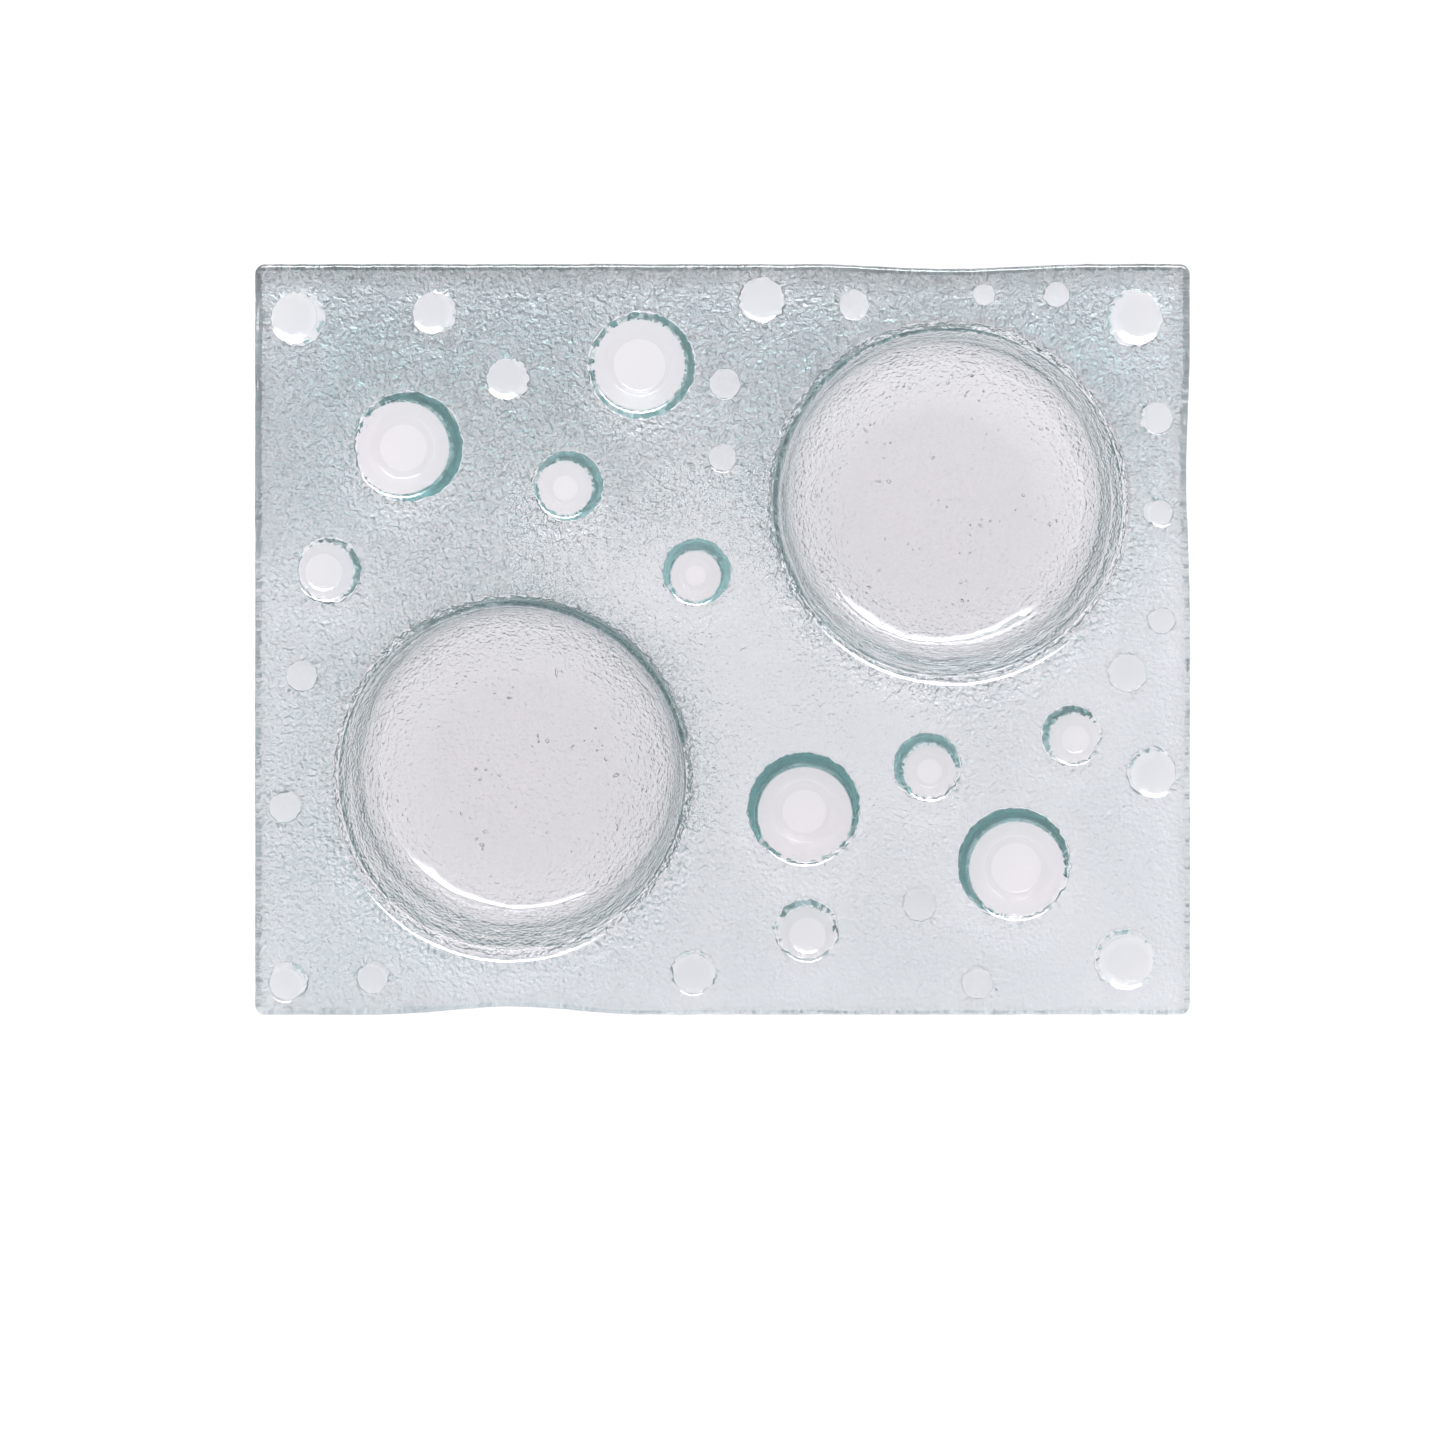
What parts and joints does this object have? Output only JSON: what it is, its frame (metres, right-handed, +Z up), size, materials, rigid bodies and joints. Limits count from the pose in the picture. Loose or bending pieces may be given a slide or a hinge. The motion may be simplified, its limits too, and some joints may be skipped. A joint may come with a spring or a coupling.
{
  "type": "chip and dip server",
  "caption": "Rectangular slumped-glass tray standing on two deep round dip bowls, with round bubbles sagged all over its flat top.",
  "frame": {"origin": "on the table, under the middle of the sheet", "axes": "+X along the sheet's long side, +Y towards the rear, +Z up; the front bowl is at -X -Y and the rear bowl at +X +Y"},
  "size_m": [0.355, 0.285, 0.05],
  "materials": {
    "glass": "fire-polished, with a granular underside"
  },
  "bodies": {
    "root": {"glass_sheet": "glass", "front_dip_bowl": "glass", "rear_dip_bowl": "glass", "deep_bubbles": "glass", "medium_bubbles": "glass", "small_bubbles": "glass"}
  },
  "joints": []
}
